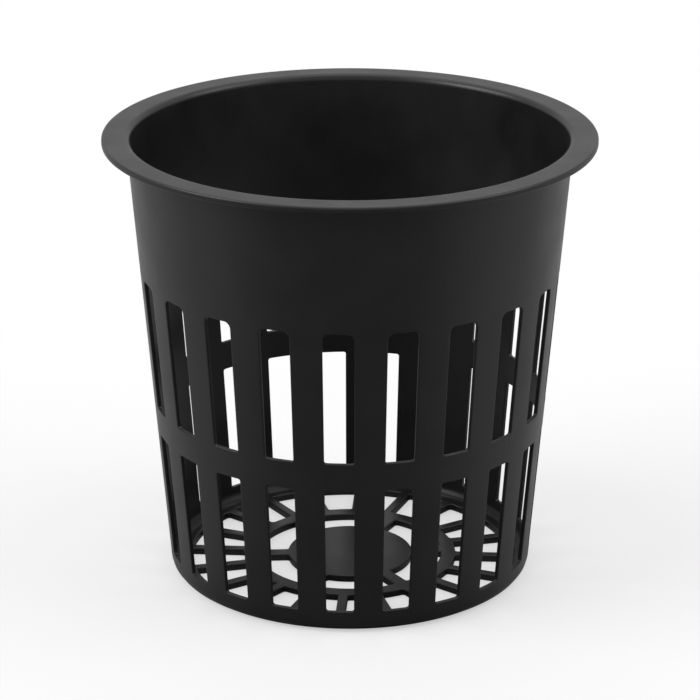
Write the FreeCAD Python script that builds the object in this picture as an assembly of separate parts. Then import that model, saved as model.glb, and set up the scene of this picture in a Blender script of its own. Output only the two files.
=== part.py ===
"""Hydroponic net pot: one moulded plastic cup with a slotted wall and a grille for a floor.

Millimetres, +Z up. The origin is the centre of the underside of the floor, on which the
pot stands, and Z is the axis of the pot. Angles are counted from -Y towards +X.

The cup is turned from one profile: flange, tapered wall, rounded foot and floor. Two rows
of tall slots are cut through the wall and two rings of windows through the floor. What is
left of the floor is a hub, a hoop around it and two sets of spokes.
"""
import FreeCAD
import Part
import math
import os

from FreeCAD import Rotation, Vector

# ---- driving dimensions -------------------------------------------------------------

# Cup
rim_diameter = 105.0            # outside of the flange
pot_height = 98.0               # underside of the floor to the top of the flange
mouth_diameter = 94.8           # outside of the wall, carried up to the top
foot_diameter = 78.6            # outside of the wall, carried down to the underside
wall_thickness = 0.9
floor_thickness = 1.6
foot_radius = 2.9               # rounding between wall and floor, outside
foot_inside_bevel = 1.6         # slope between wall and floor, inside

# Flange
flange_thickness = 1.4
flange_bevel = 0.3              # both corners of the flange's edge
mouth_radius = 1.2              # where the top of the flange turns down into the cup

# Slots in the wall, the same number in both rows, one above the other
slot_count = 21
slot_turn = -3.0                # middle of the first slot
slot_angle = 8.4                # what one slot takes of the wall, in degrees
lower_slot_bottom = 5.0         # height of the solid belt around the foot
lower_slot_height = 28.3
slot_row_gap = 6.3              # solid belt between the two rows
upper_slot_height = 29.2
upper_slot_top_radius = 1.4     # the other corners of the slots are square

# Windows in the floor
hub_diameter = 27.4
hoop_outer_diameter = 46.8
hoop_width = 3.2
window_circle_diameter = 70.0   # how far out the outer windows reach
outer_spoke_count = 20
outer_spoke_width = 2.1
outer_spoke_turn = -3.6         # middle of the first outer spoke
inner_spoke_count = 6
inner_spoke_width = 3.1
inner_spoke_turn = 33.0         # middle of the first inner spoke

# ---- values that follow -------------------------------------------------------------

wall_slope = (mouth_diameter - foot_diameter) / 2 / pot_height
wall_across = wall_thickness * math.hypot(1, wall_slope)    # wall measured along a radius
upper_slot_bottom = lower_slot_bottom + lower_slot_height + slot_row_gap
cut_margin = 2.0                # how far a cutting tool runs past the plastic

axis = Vector(0, 0, 1)
centre = Vector(0, 0, 0)


def outer_radius(height):
    """Radius of the outside of the wall at a height."""
    return foot_diameter / 2 + wall_slope * height


def inner_radius(height):
    """Radius of the inside of the wall at a height."""
    return outer_radius(height) - wall_across


def outline(corners):
    """Closed wire through corners, each given as a point and the radius that rounds it."""
    points = [point for point, radius in corners]
    starts = []
    ends = []
    edges = []
    for index, (point, radius) in enumerate(corners):
        back = (points[index - 1] - point).normalize()
        ahead = (points[(index + 1) % len(points)] - point).normalize()
        half_angle = back.getAngle(ahead) / 2
        starts.append(point + back * (radius / math.tan(half_angle)))
        ends.append(point + ahead * (radius / math.tan(half_angle)))
        if radius > 0:
            bulge = radius / math.sin(half_angle) - radius
            middle = point + (back + ahead).normalize() * bulge
            edges.append(Part.Arc(starts[index], middle, ends[index]).toShape())
    for index, end in enumerate(ends):
        edges.append(Part.makeLine(end, starts[(index + 1) % len(starts)]))
    return Part.Wire(Part.__sortEdges__(edges))


def around(tool, count, first_angle):
    """Copies of a tool made at -Y, spread evenly around the axis."""
    copies = []
    for index in range(count):
        copy = tool.copy()
        copy.rotate(centre, axis, first_angle + index * 360 / count)
        copies.append(copy)
    return copies


def cup():
    """The turned form, with an unbroken wall and floor."""
    flange_underside = pot_height - flange_thickness
    rim_radius = rim_diameter / 2
    bevel_top = floor_thickness + foot_inside_bevel
    profile = outline([
        (Vector(0, 0, 0), 0),
        (Vector(outer_radius(0), 0, 0), foot_radius),
        (Vector(outer_radius(flange_underside), 0, flange_underside), 0),
        (Vector(rim_radius - flange_bevel, 0, flange_underside), 0),
        (Vector(rim_radius, 0, flange_underside + flange_bevel), 0),
        (Vector(rim_radius, 0, pot_height - flange_bevel), 0),
        (Vector(rim_radius - flange_bevel, 0, pot_height), 0),
        (Vector(inner_radius(pot_height), 0, pot_height), mouth_radius),
        (Vector(inner_radius(bevel_top), 0, bevel_top), 0),
        (Vector(inner_radius(bevel_top) - foot_inside_bevel, 0, floor_thickness), 0),
        (Vector(0, 0, floor_thickness), 0),
    ])
    return Part.Face(profile).revolve(centre, axis, 360)


def slot(bottom, height, top_corner_radius):
    """Tool for one slot at -Y, which widens upwards with the wall."""
    top = bottom + height
    outside = outer_radius(top) + cut_margin
    inside = inner_radius(bottom) - cut_margin
    half_angle = math.radians(slot_angle / 2)
    low = outer_radius(bottom) * math.sin(half_angle)
    high = outer_radius(top) * math.sin(half_angle)
    opening = outline([
        (Vector(-low, -outside, bottom), 0),
        (Vector(low, -outside, bottom), 0),
        (Vector(high, -outside, top), top_corner_radius),
        (Vector(-high, -outside, top), top_corner_radius),
    ])
    return Part.Face(opening).extrude(Vector(0, outside - inside, 0))


def wall_slots():
    """Both rows of slots."""
    lower = slot(lower_slot_bottom, lower_slot_height, 0)
    upper = slot(upper_slot_bottom, upper_slot_height, upper_slot_top_radius)
    return around(lower, slot_count, slot_turn) + around(upper, slot_count, slot_turn)


def window(from_radius, to_radius, count, spoke_width):
    """Tool for one floor window at -Y: a stretch of ring between two of count spokes.

    Its sides run along the spokes, so that the spokes keep one width.
    """
    to_window = Rotation(axis, -180 / count)

    def beside_spoke(radius):
        """Where a circle meets the side of the spoke on the left of the window."""
        offset = spoke_width / 2
        return to_window.multVec(Vector(offset, -math.sqrt(radius ** 2 - offset ** 2), 0))

    near = beside_spoke(from_radius)
    far = beside_spoke(to_radius)
    near_right = Vector(-near.x, near.y, 0)
    far_right = Vector(-far.x, far.y, 0)
    edges = [
        Part.makeLine(near, far),
        Part.Arc(far, Vector(0, -to_radius, 0), far_right).toShape(),
        Part.makeLine(far_right, near_right),
        Part.Arc(near_right, Vector(0, -from_radius, 0), near).toShape(),
    ]
    tool = Part.Face(Part.Wire(edges)).extrude(axis * (floor_thickness + 2 * cut_margin))
    tool.translate(axis * -cut_margin)
    return tool


def floor_windows():
    """The ring of windows inside the hoop and the ring outside it."""
    hoop_outer_radius = hoop_outer_diameter / 2
    hoop_inner_radius = hoop_outer_radius - hoop_width
    inner = window(hub_diameter / 2, hoop_inner_radius, inner_spoke_count, inner_spoke_width)
    outer = window(hoop_outer_radius, window_circle_diameter / 2, outer_spoke_count, outer_spoke_width)
    inner_start = inner_spoke_turn + 180 / inner_spoke_count
    outer_start = outer_spoke_turn + 180 / outer_spoke_count
    windows = around(inner, inner_spoke_count, inner_start)
    windows += around(outer, outer_spoke_count, outer_start)
    return windows


def net_pot():
    """The finished pot."""
    return cup().cut(wall_slots() + floor_windows())


os.makedirs("parts", exist_ok=True)
net_pot().exportStep("parts/net_pot.step")
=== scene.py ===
"""Looks of the hydroponic net pot: one thin black moulding with a slotted wall and a grille floor.

Metres, +Z up, origin in the middle of the underside. Angles are counted from -Y towards +X.
The moulding is one closed skin. Strips turned about the axis make the rim, the foot, the hoop
and the hub, and a patch around each slot and window makes the rest. All of them have the same
number of columns round the axis, so they meet point to point.
"""

import math

import bmesh
import bpy
import numpy as np
from bpy.props import FloatProperty, FloatVectorProperty, IntProperty, PointerProperty
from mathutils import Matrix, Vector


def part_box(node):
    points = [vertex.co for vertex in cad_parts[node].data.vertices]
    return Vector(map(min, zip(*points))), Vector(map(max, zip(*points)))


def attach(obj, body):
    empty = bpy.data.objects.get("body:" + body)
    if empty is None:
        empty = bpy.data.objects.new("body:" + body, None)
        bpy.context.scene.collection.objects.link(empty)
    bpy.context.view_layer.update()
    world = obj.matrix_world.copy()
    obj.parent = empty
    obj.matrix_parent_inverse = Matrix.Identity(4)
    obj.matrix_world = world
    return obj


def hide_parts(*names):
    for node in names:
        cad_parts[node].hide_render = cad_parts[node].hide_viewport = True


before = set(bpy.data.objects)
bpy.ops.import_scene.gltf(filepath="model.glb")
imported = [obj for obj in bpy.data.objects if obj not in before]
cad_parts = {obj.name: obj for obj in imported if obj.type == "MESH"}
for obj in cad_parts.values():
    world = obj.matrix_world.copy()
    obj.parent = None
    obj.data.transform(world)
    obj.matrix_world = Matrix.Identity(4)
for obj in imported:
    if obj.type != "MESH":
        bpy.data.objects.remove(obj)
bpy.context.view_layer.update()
cad_low, cad_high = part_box("net_pot")

bl_info = {
    "name": "Net pot",
    "version": (1, 0, 0),
    "blender": (4, 5, 0),
    "location": "3D View > Sidebar > Net pot",
    "description": "Moulds a hydroponic net pot and sets a plain studio around it",
    "category": "Object",
}

MM = 0.001
COLUMNS = 420           # points round the axis: 21, 20 and 6 all divide it
SLOT_STEPS = 18         # quads up the side of a slot
INNER_STEPS = 8         # quads along the side of an inner window
OUTER_STEPS = 10        # quads along the side of an outer window
CORNER_STEPS = 3        # quads along half of an opening's rounded corner
LIP_STEPS = 3           # quads round each lip of an opening
SKIN_STEPS = 3          # quads from a lip to the edge of the opening's patch
FILLET_STEPS = 4        # quads round each rounding of a turned strip
LONGEST = 7 * MM        # longest quad of a turned strip
GUARD = 0.25 * MM       # short quads beside each rounding, which keep the shading crisp
BORDER = 0.8 * MM       # how far the patch of an opening reaches past it
TOP_BORDER = 2.0 * MM   # the same above the upper slots, whose top corners are rounder
WELD = 0.001 * MM       # points closer than this become one
FLOOR_GAP = 0.02 * MM   # keeps the floor from meeting the underside in one plane
NOISE_RANGE = 0.3, 0.7  # nearly all values of a noise lie between these


def size(name, description, millimetres):
    """A length that a user may change, shown in the scene's own unit."""
    return FloatProperty(
        name=name, description=description, default=millimetres * MM, unit="LENGTH", precision=5)


def turn(name, description, degrees):
    """An angle that a user may change."""
    return FloatProperty(
        name=name, description=description, default=math.radians(degrees), subtype="ANGLE")


def share(name, description, default):
    """A number from 0 to 1 that a user may change."""
    return FloatProperty(
        name=name, description=description, default=default, min=0, max=1, subtype="FACTOR")


def colour(name, description, default):
    """A linear colour that a user may change."""
    return FloatVectorProperty(
        name=name, description=description, default=default, min=0, max=1, subtype="COLOR")


class NetPotCup(bpy.types.PropertyGroup):
    """Sizes of the turned cup."""
    rim_diameter: size("Rim diameter", "Outside of the flange", (cad_high.x - cad_low.x) / MM)
    height: size("Height", "Underside of the floor to the top of the flange", cad_high.z / MM)
    mouth_diameter: size("Mouth diameter", "Outside of the wall, carried up to the top", 94.8)
    foot_diameter: size("Foot diameter", "Outside of the wall, carried down to the underside", 78.6)
    wall: size("Wall", "Thickness of the wall", 0.9)
    floor: size("Floor", "Thickness of the floor", 1.6)
    flange: size("Flange", "Thickness of the flange", 1.4)
    flange_edge_radius: size("Flange edge", "Rounding of the flange's two outer corners", 0.4)
    flange_root_radius: size("Flange root", "Rounding between the wall and the underside of the flange", 0.6)
    mouth_radius: size("Mouth edge", "Rounding where the flange turns down into the cup", 1.2)
    foot_radius: size("Foot rounding", "Rounding between wall and floor, outside", 2.9)
    foot_inside_radius: size("Inner foot rounding", "Rounding between wall and floor, inside", 2.0)
    gate_diameter: size("Gate mark", "Dimple under the hub, where the plastic came in", 5.0)
    gate_depth: size("Gate depth", "Depth of that dimple", 0.35)
    stub_diameter: size("Gate stub", "End of the stub that stands in that dimple", 0.98)
    stub_height: size("Gate stub height", "Height of that stub", 0.21)


class NetPotSlots(bpy.types.PropertyGroup):
    """The two rows of slots in the wall."""
    count: IntProperty(name="Slots", description="Slots in each row", default=21, min=3)
    middle: turn("Turn", "Middle of the first slot", -3.0)
    angle: turn("Slot angle", "What one slot takes of the wall", 8.4)
    lower_bottom: size("Foot belt", "Height of the solid belt around the foot", 5.0)
    lower_height: size("Lower slots", "Height of the lower slots", 28.3)
    row_gap: size("Middle belt", "Solid belt between the two rows", 6.3)
    upper_height: size("Upper slots", "Height of the upper slots", 29.2)
    corner_radius: size("Corners", "Rounding of the slots' corners", 0.5)
    top_radius: size("Top corners", "Rounding of the upper slots' top corners", 1.4)
    lip: size("Lip", "Rounding of the slots' edges", 0.18)


class NetPotGrille(bpy.types.PropertyGroup):
    """The windows in the floor."""
    hub_diameter: size("Hub", "Solid disc in the middle", 27.4)
    hoop_diameter: size("Hoop", "Outside of the ring between the two sets of windows", 46.8)
    hoop_width: size("Hoop width", "Width of that ring", 3.2)
    window_circle: size("Window circle", "How far out the outer windows reach", 70.0)
    outer_count: IntProperty(name="Outer spokes", description="Spokes outside the hoop", default=20, min=3)
    outer_width: size("Outer spoke width", "Width of each of them", 2.1)
    outer_turn: turn("Outer turn", "Middle of the first of them", -3.6)
    inner_count: IntProperty(name="Inner spokes", description="Spokes inside the hoop", default=6, min=3)
    inner_width: size("Inner spoke width", "Width of each of them", 3.1)
    inner_turn: turn("Inner turn", "Middle of the first of them", 33.0)
    corner_radius: size("Corners", "Rounding of the windows' corners", 0.5)
    lip: size("Lip", "Rounding of the spokes' edges", 0.3)


class NetPotFinish(bpy.types.PropertyGroup):
    """Satin black polypropylene."""
    plastic: colour("Plastic", "Colour where the skin is clearest", (0.0072, 0.0072, 0.0074))
    bloom: colour("Bloom", "Colour where the skin is a little cloudy", (0.0092, 0.0092, 0.0096))
    roughness: share("Roughness", "Middle roughness of the satin surface", 0.33)
    roughness_spread: share("Uneven sheen", "How far the roughness drifts to both sides of its middle", 0.04)
    cloud_size: size("Clouds", "Size of the patches of sheen and bloom", 9.0)
    gloss: share("Gloss", "Strength of the mirror-like part", 0.5)
    grain_size: size("Grain", "Size of the fine grain that the mould leaves", 0.35)
    grain_depth: size("Grain depth", "Depth of that grain", 0.02)
    streak_width: size("Draw marks", "Width of the upright marks left by the mould's core", 0.7)
    streak_length: size("Draw mark length", "Length of those marks", 16.0)
    streak_depth: size("Draw mark depth", "Depth of those marks", 0.014)
    wave_size: size("Waves", "Size of the slow waves of a thin wall", 18.0)
    wave_depth: size("Wave depth", "Depth of those waves", 0.4)


class NetPotStudio(bpy.types.PropertyGroup):
    """Floor, light and camera."""
    floor_colour: colour("Floor", "Colour of the floor", (0.5, 0.5, 0.5))
    floor_size: size("Floor size", "Width of the floor", 8000.0)
    floor_lift: share("White floor", "What the floor adds to its own light to look white", 0.50)
    # painted reflection: the floor's colour as glossy rays see it, darker in front and paler beside and
    # behind, paints soft highlights on the plastic's sides
    front_painted_reflection: share("Mirrored front", "Paleness of the floor in front, as the plastic mirrors it", 0.2)
    back_painted_reflection: share("Mirrored back", "The same for the floor beside and behind the pot", 0.5)
    front_end: FloatProperty(
        name="End of the front", description="Y, from -1 to 1, of the directions where the front ends",
        default=-0.3, min=-1, max=1)
    sky_mirrored: share("Mirrored surroundings", "The same for all that is above the floor", 0.62)
    ambient: share("Ambient light", "Light that comes evenly from all sides", 0.45)
    camera_distance: size("Distance", "Camera in front of the axis", 633.0)
    camera_height: size("Camera height", "Camera above the floor", 283.0)
    lens: FloatProperty(name="Lens", description="Focal length", default=160.0, unit="CAMERA")


# ---- surfaces -----------------------------------------------------------------------


def around(radius, angle, height):
    """Points round the axis: radius times the angle's sine and minus its cosine, at a height."""
    across, along = radius * np.sin(angle), -radius * np.cos(angle)
    return np.stack(np.broadcast_arrays(across, along, height), axis=-1)


def grid(points, closed):
    """Points and quads of a grid of rows by columns. A closed grid joins its last column to its first."""
    rows, columns = points.shape[:2]
    index = np.arange(rows * columns).reshape(rows, columns)
    if closed:
        index = np.concatenate([index, index[:, :1]], axis=1)
    low, high = index[:-1], index[1:]
    quads = np.stack([low[:, :-1], low[:, 1:], high[:, 1:], high[:, :-1]], axis=-1)
    return points.reshape(-1, 3), quads.reshape(-1, 4)


def rounded(corners):
    """Outline through corners (distance from the axis, height, rounding), ends not rounded.

    An arc touches both lines of its corner at rounding / tan(half the angle between them).
    Its points are the mix, by sines of the angle swept, of the directions of its two ends
    from its centre. Each line has a short step beside each arc.
    """
    corners = np.array(corners)
    points, radius = corners[:, :2], corners[1:-1, 2:]
    lines = np.diff(points, axis=0)
    lines /= np.linalg.norm(lines, axis=1, keepdims=True)
    back, ahead = -lines[:-1], lines[1:]
    half = np.arccos(np.sum(back * ahead, axis=1, keepdims=True)) / 2
    middle = (back + ahead) / np.linalg.norm(back + ahead, axis=1, keepdims=True)
    centre = points[1:-1] + middle * radius / np.sin(half)
    starts = points[1:-1] + back * radius / np.tan(half)
    ends = points[1:-1] + ahead * radius / np.tan(half)
    sweep = (math.pi - 2 * half)[:, None]
    step = np.linspace(0, 1, FILLET_STEPS + 1)[None, :, None]
    from_start = np.sin((1 - step) * sweep) * (starts - centre)[:, None]
    from_end = np.sin(step * sweep) * (ends - centre)[:, None]
    arcs = centre[:, None] + (from_start + from_end) / np.sin(sweep)
    before = starts + back * GUARD
    after = ends + ahead * GUARD
    inner = np.concatenate([before[:, None], arcs, after[:, None]], axis=1).reshape(-1, 2)
    return np.concatenate([points[:1], inner, points[-1:]])


def split(outline, longest):
    """The outline with each step longer than a limit cut into equal shorter ones."""
    steps = np.diff(outline, axis=0)
    parts = np.ceil(np.linalg.norm(steps, axis=1) / longest).astype(int)
    starts = np.repeat(outline[:-1], parts, axis=0)
    short_steps = np.repeat(steps / parts[:, None], parts, axis=0)
    number_in_step = np.arange(parts.sum()) - np.repeat(np.cumsum(parts) - parts, parts)
    return np.concatenate([starts + short_steps * number_in_step[:, None], outline[-1:]])


def turned(outline, first_turn, last_turn):
    """Strip of an outline carried once round the axis.

    The outline runs with the plastic on its left. The columns stand at first_turn on its first
    row and meet those that start from last_turn on its last one, and twist evenly in between.
    """
    outline = split(outline, LONGEST)
    step = 2 * math.pi / COLUMNS
    nearest = last_turn + step * round((first_turn - last_turn) / step)
    first_column = np.linspace(first_turn, nearest, len(outline))[:, None]
    angle = first_column + step * np.arange(COLUMNS)
    return grid(around(outline[:, :1], angle, outline[:, 1:]), closed=True)


def opening_outline(low, high, low_radius, high_radius, across_steps, up_steps):
    """The closed outline of an opening, from its low left corner round by the right.

    Each row holds one point: its side, from -1 on the left to 1 on the right; its base, as a
    distance in from that side and a station along it; a direction out of the opening, in the
    same two terms; and a rounding. The point at a distance d outside the opening is
    base + direction * (rounding + d). A corner's base is the centre of its rounding.
    """
    tilt = np.linspace(math.pi / 4, 0, CORNER_STEPS + 1)
    straight_across = np.linspace(-1, 1, across_steps - 2 * CORNER_STEPS + 1)[1:-1]
    straight_up = np.linspace(0, 1, up_steps - 2 * CORNER_STEPS + 1)[1:-1]

    def run_across(station, radius, up):
        """Half a corner, the straight and half a corner, from left to right."""
        level = np.zeros(len(straight_across))
        turned_in = -np.concatenate([np.sin(tilt), level, np.sin(tilt[::-1])])
        turned_along = up * np.concatenate([np.cos(tilt), level + 1, np.cos(tilt[::-1])])
        side = np.concatenate([np.full(len(tilt), -1.0), straight_across, np.full(len(tilt), 1.0)])
        rounding = np.full(len(side), radius)
        stations = np.full(len(side), station)
        return np.stack([side, rounding, stations, turned_in, turned_along, rounding], axis=-1)

    def run_up(side):
        """Half a corner, the straight and half a corner, from low to high."""
        upright = np.zeros(len(straight_up))
        corner = np.ones(len(tilt))
        start, stop = low + low_radius, high - high_radius
        rounding = np.concatenate([low_radius * corner, upright, high_radius * corner])
        station = np.concatenate([start * corner, start + (stop - start) * straight_up, stop * corner])
        turned_along = np.concatenate([-np.sin(tilt), upright, np.sin(tilt[::-1])])
        turned_in = -np.sqrt(1 - turned_along ** 2)
        sides = np.full(len(station), side)
        return np.stack([sides, rounding, station, turned_in, turned_along, rounding], axis=-1)

    bottom = run_across(low + low_radius, low_radius, -1)
    top = run_across(high - high_radius, high_radius, 1)
    return np.concatenate([bottom[:-1], run_up(1)[:-1], top[:0:-1], run_up(-1)[:0:-1]])


def patch_edge(low, high, half_pitch, across_steps, up_steps):
    """Angle and station of the edge of an opening's patch, in step with the opening's outline."""
    across = np.linspace(-half_pitch, half_pitch, across_steps + 1)
    up = np.linspace(low, high, up_steps + 1)
    bottom = np.stack([across, np.full(len(across), low)], axis=-1)
    top = np.stack([across, np.full(len(across), high)], axis=-1)
    left = np.stack([np.full(len(up), -half_pitch), up], axis=-1)
    right = np.stack([np.full(len(up), half_pitch), up], axis=-1)
    return np.concatenate([bottom[:-1], right[:-1], top[:0:-1], left[:0:-1]])


def opening_patch(outline, edge, side_angle, place, thickness, lip, middles):
    """Plastic round an opening, once for each angle in middles.

    A ring of points runs from the patch's edge in over the front skin, round a lip into the
    opening, through the thickness, round the other lip and out over the back skin. On a lip
    the distance from the opening is lip * (1 - sine) and the depth lip * (1 - cosine). On a
    skin, reach says how far a ring lies from the lip (0) to the patch's edge (1).
    side_angle(distance in, station, depth) is the angle of the opening's side, and
    place(angle, station, depth) the point.
    """
    bend = np.linspace(0, math.pi / 2, LIP_STEPS + 1)
    front_distance = np.concatenate([np.full(SKIN_STEPS, lip), lip * (1 - np.sin(bend))])
    front_depth = np.concatenate([np.zeros(SKIN_STEPS), lip * (1 - np.cos(bend))])
    front_reach = np.concatenate([np.linspace(1, 0, SKIN_STEPS + 1)[:-1] ** 2, 0 * bend])
    distance = np.concatenate([front_distance, front_distance[::-1]])[:, None]
    depth = np.concatenate([front_depth, thickness - front_depth[::-1]])[:, None]
    reach = np.concatenate([front_reach, front_reach[::-1]])[:, None]
    side, base_in, base_station, turned_in, turned_along, rounding = outline.T
    inwards = base_in + turned_in * (rounding + distance)
    station = base_station + turned_along * (rounding + distance)
    angle = side * side_angle(inwards, station, depth)
    angle += (edge[:, 0] - angle) * reach
    station = station + (edge[:, 1] - station) * reach
    points = place(angle + middles[:, None, None], station, depth)
    one, quads = grid(points[0], closed=True)
    all_quads = quads + len(one) * np.arange(len(middles))[:, None, None]
    return points.reshape(-1, 3), all_quads.reshape(-1, 4)


def wall_patch(cup, slots, low, high, edge_low, edge_high, high_radius):
    """Wall round one row of slots, whose sides run straight in and spread upwards with the wall.

    low and high are the ends of the slots, and edge_low and edge_high those of the patches.
    The wall's radius is a straight line of the height, less the depth measured along the
    radius. Half a slot's width is the outside radius times the sine of half its angle.
    """
    slope = (cup.mouth_diameter - cup.foot_diameter) / 2 / cup.height
    along_radius = math.hypot(1, slope)
    columns = COLUMNS // slots.count
    half_pitch = math.pi / slots.count

    def radius(height, depth):
        return cup.foot_diameter / 2 + slope * height - depth * along_radius

    def side_angle(inwards, height, depth):
        half_width = radius(height, 0) * math.sin(slots.angle / 2) - inwards
        return np.arcsin(half_width / radius(height, depth))

    def place(angle, height, depth):
        return around(radius(height, depth), angle, height)

    outline = opening_outline(low, high, slots.corner_radius, high_radius, columns, SLOT_STEPS)
    edge = patch_edge(edge_low, edge_high, half_pitch, columns, SLOT_STEPS)
    middles = slots.middle + 2 * half_pitch * np.arange(slots.count)
    return opening_patch(outline, edge, side_angle, place, cup.wall, slots.lip, middles)


def floor_patch(cup, grille, low, high, count, width, first_turn, up_steps):
    """Floor round one ring of windows, which leave spokes of one width.

    low and high are the radii at the ends of the windows. A window's side is at half the
    pitch less the angle whose sine is half the spoke's width, plus the distance in from that
    side, over the radius.
    """
    columns = COLUMNS // count
    half_pitch = math.pi / count

    def side_angle(inwards, radius, depth):
        return half_pitch - np.arcsin((width / 2 + inwards) / radius)

    def place(angle, radius, depth):
        return around(radius, angle, depth)

    outline = opening_outline(low, high, grille.corner_radius, grille.corner_radius, columns, up_steps)
    edge = patch_edge(low - BORDER, high + BORDER, half_pitch, columns, up_steps)
    middles = first_turn + half_pitch + 2 * half_pitch * np.arange(count)
    return opening_patch(outline, edge, side_angle, place, cup.floor, grille.lip, middles)


def moulding_surfaces(cup, slots, grille):
    """All strips and patches of the moulding, each as its points and quads."""
    slope = (cup.mouth_diameter - cup.foot_diameter) / 2 / cup.height
    wall_across = cup.wall * math.hypot(1, slope)

    def outside(height):
        return cup.foot_diameter / 2 + slope * height

    def inside(height):
        return outside(height) - wall_across

    rim = cup.rim_diameter / 2
    under_flange = cup.height - cup.flange
    lower_top = slots.lower_bottom + slots.lower_height
    upper_bottom = lower_top + slots.row_gap
    upper_top = upper_bottom + slots.upper_height
    low_edge = slots.lower_bottom - BORDER
    belt = (lower_top + upper_bottom) / 2
    high_edge = upper_top + TOP_BORDER
    hub = grille.hub_diameter / 2
    hoop_outside = grille.hoop_diameter / 2
    hoop_inside = hoop_outside - grille.hoop_width
    reach = grille.window_circle / 2
    gate = cup.gate_diameter / 2
    dimple = cup.gate_depth
    stub = cup.stub_diameter / 2
    stub_end = dimple - cup.stub_height

    rim_outline = rounded([
        (outside(high_edge), high_edge, 0),
        (outside(under_flange), under_flange, cup.flange_root_radius),
        (rim, under_flange, cup.flange_edge_radius),
        (rim, cup.height, cup.flange_edge_radius),
        (inside(cup.height), cup.height, cup.mouth_radius),
        (inside(high_edge), high_edge, 0),
    ])
    foot_outside = rounded([
        (reach + BORDER, 0, 0),
        (outside(0), 0, cup.foot_radius),
        (outside(low_edge), low_edge, 0),
    ])
    foot_inside = rounded([
        (inside(low_edge), low_edge, 0),
        (inside(cup.floor), cup.floor, cup.foot_inside_radius),
        (reach + BORDER, cup.floor, 0),
    ])
    hub_underside = np.array([
        (0, stub_end),
        (stub, stub_end),
        (stub + cup.stub_height, dimple),
        (gate - dimple, dimple),
        (gate - dimple / 3, dimple / 3),    # on the slope, keeps its shading crisp
        (gate, 0),
        (gate + GUARD, 0),
        (hub - BORDER, 0),
    ])
    hub_top = np.array([(hub - BORDER, cup.floor), (hub / 2, cup.floor), (0, cup.floor)])
    hoop = np.array([hoop_inside + BORDER, hoop_outside - BORDER])
    hoop_underside = np.stack([hoop, 0 * hoop], axis=-1)
    hoop_top = np.stack([hoop[::-1], 0 * hoop + cup.floor], axis=-1)
    return [
        turned(rim_outline, slots.middle, slots.middle),
        turned(foot_outside, grille.outer_turn, slots.middle),
        turned(foot_inside, slots.middle, grille.outer_turn),
        turned(hoop_underside, grille.inner_turn, grille.outer_turn),
        turned(hoop_top, grille.outer_turn, grille.inner_turn),
        turned(hub_underside, grille.inner_turn, grille.inner_turn),
        turned(hub_top, grille.inner_turn, grille.inner_turn),
        wall_patch(cup, slots, slots.lower_bottom, lower_top, low_edge, belt, slots.corner_radius),
        wall_patch(cup, slots, upper_bottom, upper_top, belt, high_edge, slots.top_radius),
        floor_patch(cup, grille, hub, hoop_inside,
                    grille.inner_count, grille.inner_width, grille.inner_turn, INNER_STEPS),
        floor_patch(cup, grille, hoop_outside, reach,
                    grille.outer_count, grille.outer_width, grille.outer_turn, OUTER_STEPS),
    ]


def welded(name, surfaces):
    """One mesh object of all surfaces, with coincident points joined, and closed everywhere."""
    counts = [len(points) for points, quads in surfaces]
    firsts = np.cumsum(counts) - counts
    all_points = np.concatenate([points for points, quads in surfaces])
    all_quads = np.concatenate([quads + first for (points, quads), first in zip(surfaces, firsts)])
    mesh = bpy.data.meshes.new(name)
    mesh.from_pydata(all_points, [], all_quads)
    work = bmesh.new()
    work.from_mesh(mesh)
    bmesh.ops.remove_doubles(work, verts=work.verts, dist=WELD)
    open_edges = sum(not edge.is_manifold for edge in work.edges)
    if open_edges:
        raise RuntimeError(f"{name} has {open_edges} open edges")
    work.to_mesh(mesh)
    work.free()
    mesh.shade_smooth()
    moulding = bpy.data.objects.new(name, mesh)
    bpy.context.scene.collection.objects.link(moulding)
    return moulding


# ---- materials ----------------------------------------------------------------------


def new_material(name):
    """An empty node material, with its output node."""
    material = bpy.data.materials.new(name)
    material.use_nodes = True
    material.node_tree.nodes.clear()
    output = material.node_tree.nodes.new("ShaderNodeOutputMaterial")
    return material, material.node_tree, output


def noise(tree, position, feature_size, detail):
    """Noise with features of about one size, in metres."""
    node = tree.nodes.new("ShaderNodeTexNoise")
    node.inputs["Scale"].default_value = 1 / feature_size
    node.inputs["Detail"].default_value = detail
    tree.links.new(position, node.inputs["Vector"])
    return node.outputs["Fac"]


def bump(tree, height, depth, under):
    """Bump of one depth, in metres, on top of another normal."""
    node = tree.nodes.new("ShaderNodeBump")
    node.inputs["Distance"].default_value = depth
    tree.links.new(height, node.inputs["Height"])
    if under:
        tree.links.new(under, node.inputs["Normal"])
    return node.outputs["Normal"]


def drift(tree, value, low, high):
    """A noise value, which keeps to the middle of its range, spread over low to high."""
    node = tree.nodes.new("ShaderNodeMapRange")
    node.inputs["From Min"].default_value, node.inputs["From Max"].default_value = NOISE_RANGE
    node.inputs["To Min"].default_value = low
    node.inputs["To Max"].default_value = high
    tree.links.new(value, node.inputs["Value"])
    return node.outputs["Result"]


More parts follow.
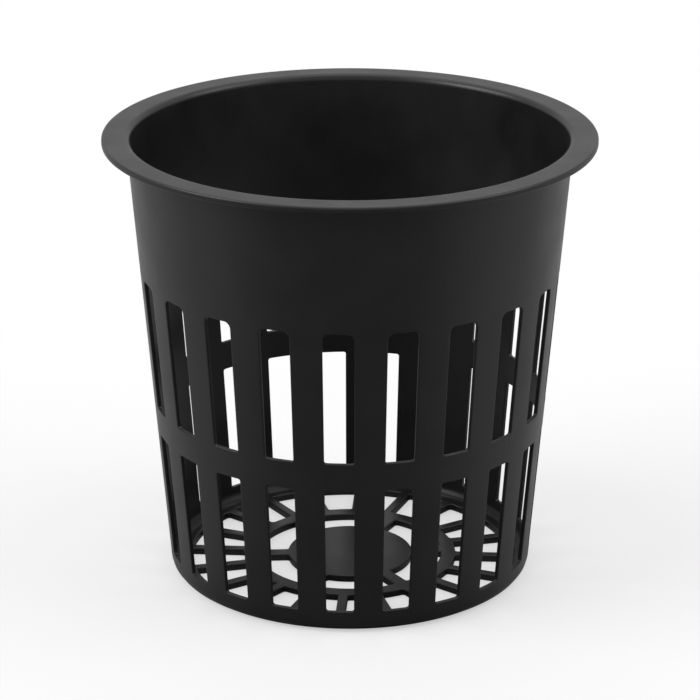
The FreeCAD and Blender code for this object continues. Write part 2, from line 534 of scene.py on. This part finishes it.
def satin_plastic(finish):
    """Black polypropylene with slow waves, upright draw marks and a fine grain.

    Cloudy patches drift between the two colours and the two ends of the roughness.
    """
    material, tree, output = new_material("satin_black_polypropylene")
    shader = tree.nodes.new("ShaderNodeBsdfPrincipled")
    shader.inputs["Specular IOR Level"].default_value = finish.gloss
    position = tree.nodes.new("ShaderNodeTexCoord").outputs["Object"]
    upright = tree.nodes.new("ShaderNodeMapping")
    upright.inputs["Scale"].default_value = (1, 1, finish.streak_width / finish.streak_length)
    tree.links.new(position, upright.inputs["Vector"])

    waves = noise(tree, position, finish.wave_size, detail=1)
    streaks = noise(tree, upright.outputs["Vector"], finish.streak_width, detail=3)
    grain = noise(tree, position, finish.grain_size, detail=2)
    wavy = bump(tree, waves, finish.wave_depth, under=None)
    streaked = bump(tree, streaks, finish.streak_depth, under=wavy)
    grained = bump(tree, grain, finish.grain_depth, under=streaked)
    tree.links.new(grained, shader.inputs["Normal"])

    clouds = noise(tree, position, finish.cloud_size, detail=4)
    sheen = drift(
        tree, clouds, finish.roughness - finish.roughness_spread, finish.roughness + finish.roughness_spread)
    tree.links.new(sheen, shader.inputs["Roughness"])
    tint = tree.nodes.new("ShaderNodeMix")
    tint.data_type = "RGBA"
    tint.inputs["A"].default_value = (*finish.plastic, 1)
    tint.inputs["B"].default_value = (*finish.bloom, 1)
    tree.links.new(drift(tree, clouds, 0, 1), tint.inputs["Factor"])
    tree.links.new(tint.outputs["Result"], shader.inputs["Base Color"])
    tree.links.new(shader.outputs["BSDF"], output.inputs["Surface"])
    return material


def white_floor(studio):
    """Pale matt floor that looks white to the camera, keeps the pot's shadow and is clear from below.

    What the plastic mirrors of it is a painted reflection, seen by glossy rays only: darker straight in
    front, where the direction from the axis has a Y of -1, and paler smoothly to both sides, up to the end
    of the front, which paints soft highlights on the plastic's sides.
    """
    material, tree, output = new_material("studio_floor")
    direction = tree.nodes.new("ShaderNodeVectorMath")
    direction.operation = "NORMALIZE"
    tree.links.new(tree.nodes.new("ShaderNodeTexCoord").outputs["Object"], direction.inputs[0])
    terms = tree.nodes.new("ShaderNodeSeparateXYZ")
    tree.links.new(direction.outputs["Vector"], terms.inputs["Vector"])
    # painted reflection: for glossy rays only, the floor is darker straight in front and paler to the sides,
    # which paints soft highlights on the plastic
    mirrored = tree.nodes.new("ShaderNodeMapRange")
    mirrored.interpolation_type = "SMOOTHSTEP"
    mirrored.inputs["From Min"].default_value = -1
    mirrored.inputs["From Max"].default_value = studio.front_end
    mirrored.inputs["To Min"].default_value = studio.front_painted_reflection
    mirrored.inputs["To Max"].default_value = studio.back_painted_reflection
    tree.links.new(terms.outputs["Y"], mirrored.inputs["Value"])

    rays = tree.nodes.new("ShaderNodeLightPath")
    paint = tree.nodes.new("ShaderNodeMix")
    paint.data_type = "RGBA"
    paint.inputs["A"].default_value = (*studio.floor_colour, 1)
    tree.links.new(rays.outputs["Is Glossy Ray"], paint.inputs["Factor"])
    tree.links.new(mirrored.outputs["Result"], paint.inputs["B"])
    matt = tree.nodes.new("ShaderNodeBsdfDiffuse")
    tree.links.new(paint.outputs["Result"], matt.inputs["Color"])

    lift = tree.nodes.new("ShaderNodeMath")
    lift.operation = "MULTIPLY"
    lift.inputs[1].default_value = studio.floor_lift
    tree.links.new(rays.outputs["Is Camera Ray"], lift.inputs[0])
    glow = tree.nodes.new("ShaderNodeEmission")
    tree.links.new(lift.outputs["Value"], glow.inputs["Strength"])
    white = tree.nodes.new("ShaderNodeAddShader")
    tree.links.new(matt.outputs["BSDF"], white.inputs[0])
    tree.links.new(glow.outputs["Emission"], white.inputs[1])

    one_sided = tree.nodes.new("ShaderNodeMixShader")
    tree.links.new(tree.nodes.new("ShaderNodeNewGeometry").outputs["Backfacing"], one_sided.inputs["Fac"])
    tree.links.new(white.outputs["Shader"], one_sided.inputs[1])
    tree.links.new(tree.nodes.new("ShaderNodeBsdfTransparent").outputs["BSDF"], one_sided.inputs[2])
    tree.links.new(one_sided.outputs["Shader"], output.inputs["Surface"])
    return material


# ---- studio -------------------------------------------------------------------------


def studio_floor(studio):
    """Flat floor under the pot, one quad."""
    half = studio.floor_size / 2
    corners = [(x * half, y * half, -FLOOR_GAP) for x, y in ((-1, -1), (1, -1), (1, 1), (-1, 1))]
    mesh = bpy.data.meshes.new("studio_floor")
    mesh.from_pydata(corners, [], [(0, 1, 2, 3)])
    mesh.materials.append(white_floor(studio))
    floor = bpy.data.objects.new("studio_floor", mesh)
    bpy.context.scene.collection.objects.link(floor)


def lamp(name, azimuth, elevation, strength, softness):
    """Distant soft lamp, all angles in degrees. Azimuth 0 is in front and 90 on the right."""
    light = bpy.data.lights.new(name, "SUN")
    light.energy = strength
    light.angle = math.radians(softness)
    sun = bpy.data.objects.new(name, light)
    bpy.context.scene.collection.objects.link(sun)
    sun.rotation_euler = (math.radians(90 - elevation), 0, math.radians(azimuth))


def white_world(studio):
    """White surroundings for the camera, dimmer as a light and where the plastic mirrors them."""
    world = bpy.data.worlds.new("studio")
    world.use_nodes = True
    tree = world.node_tree
    background = tree.nodes["Background"]
    background.inputs["Color"].default_value = (1, 1, 1, 1)
    rays = tree.nodes.new("ShaderNodeLightPath")
    mirrored = tree.nodes.new("ShaderNodeMapRange")
    mirrored.inputs["To Min"].default_value = studio.ambient
    mirrored.inputs["To Max"].default_value = studio.sky_mirrored
    tree.links.new(rays.outputs["Is Glossy Ray"], mirrored.inputs["Value"])
    strength = tree.nodes.new("ShaderNodeMath")
    strength.operation = "MAXIMUM"
    tree.links.new(mirrored.outputs["Result"], strength.inputs[0])
    tree.links.new(rays.outputs["Is Camera Ray"], strength.inputs[1])
    tree.links.new(strength.outputs["Value"], background.inputs["Strength"])
    bpy.context.scene.world = world


def studio_camera(studio, target):
    """Camera in front of the pot, a little above its rim."""
    data = bpy.data.cameras.new("studio_camera")
    data.lens = studio.lens
    camera = bpy.data.objects.new("studio_camera", data)
    bpy.context.scene.collection.objects.link(camera)
    camera.location = (0, -studio.camera_distance, studio.camera_height)
    camera.rotation_euler = (target - camera.location).to_track_quat("-Z", "Y").to_euler()
    bpy.context.scene.camera = camera


# ---- operators and panel ------------------------------------------------------------


class NETPOT_OT_mould_pot(bpy.types.Operator):
    """Mould the pot as one closed skin in satin black plastic"""
    bl_idname = "netpot.mould_pot"
    bl_label = "Mould the pot"

    def execute(self, context):
        scene = context.scene
        surfaces = moulding_surfaces(scene.net_pot_cup, scene.net_pot_slots, scene.net_pot_grille)
        moulding = welded("pot_moulding", surfaces)
        moulding.data.materials.append(satin_plastic(scene.net_pot_finish))
        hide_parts("net_pot")
        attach(moulding, "root")
        return {"FINISHED"}


class NETPOT_OT_set_studio(bpy.types.Operator):
    """Set the floor, the lamps, the white surroundings and the camera"""
    bl_idname = "netpot.set_studio"
    bl_label = "Set the studio"

    def execute(self, context):
        studio = context.scene.net_pot_studio
        studio_floor(studio)
        lamp("left_lamp", azimuth=-75, elevation=35, strength=1.3, softness=40)
        lamp("right_lamp", azimuth=80, elevation=40, strength=0.7, softness=40)
        lamp("top_lamp", azimuth=180, elevation=75, strength=0.6, softness=60)
        white_world(studio)
        studio_camera(studio, target=(cad_low + cad_high) / 2)
        context.scene.view_settings.view_transform = "Standard"
        return {"FINISHED"}


class NETPOT_PT_sidebar(bpy.types.Panel):
    """Lists the pieces and their sizes"""
    bl_idname = "NETPOT_PT_sidebar"
    bl_label = "Net pot"
    bl_space_type = "VIEW_3D"
    bl_region_type = "UI"
    bl_category = "Net pot"

    def draw(self, context):
        scene = context.scene
        self.layout.operator("netpot.mould_pot")
        self.layout.operator("netpot.set_studio")
        for group in (scene.net_pot_cup, scene.net_pot_slots, scene.net_pot_grille,
                      scene.net_pot_finish, scene.net_pot_studio):
            box = self.layout.box()
            for name in group.__annotations__:
                box.prop(group, name)


GROUPS = {
    "net_pot_cup": NetPotCup,
    "net_pot_slots": NetPotSlots,
    "net_pot_grille": NetPotGrille,
    "net_pot_finish": NetPotFinish,
    "net_pot_studio": NetPotStudio,
}
CLASSES = (*GROUPS.values(), NETPOT_OT_mould_pot, NETPOT_OT_set_studio, NETPOT_PT_sidebar)


def register():
    """Register the classes and hang the property groups on the scene."""
    for item in CLASSES:
        bpy.utils.register_class(item)
    for name, group in GROUPS.items():
        setattr(bpy.types.Scene, name, PointerProperty(type=group))


def unregister():
    """Undo register."""
    for name in GROUPS:
        delattr(bpy.types.Scene, name)
    for item in reversed(CLASSES):
        bpy.utils.unregister_class(item)


def main():
    """Build everything."""
    register()
    bpy.ops.netpot.mould_pot()
    bpy.ops.netpot.set_studio()
    bpy.context.view_layer.update()


if __name__ == "__main__":
    main()
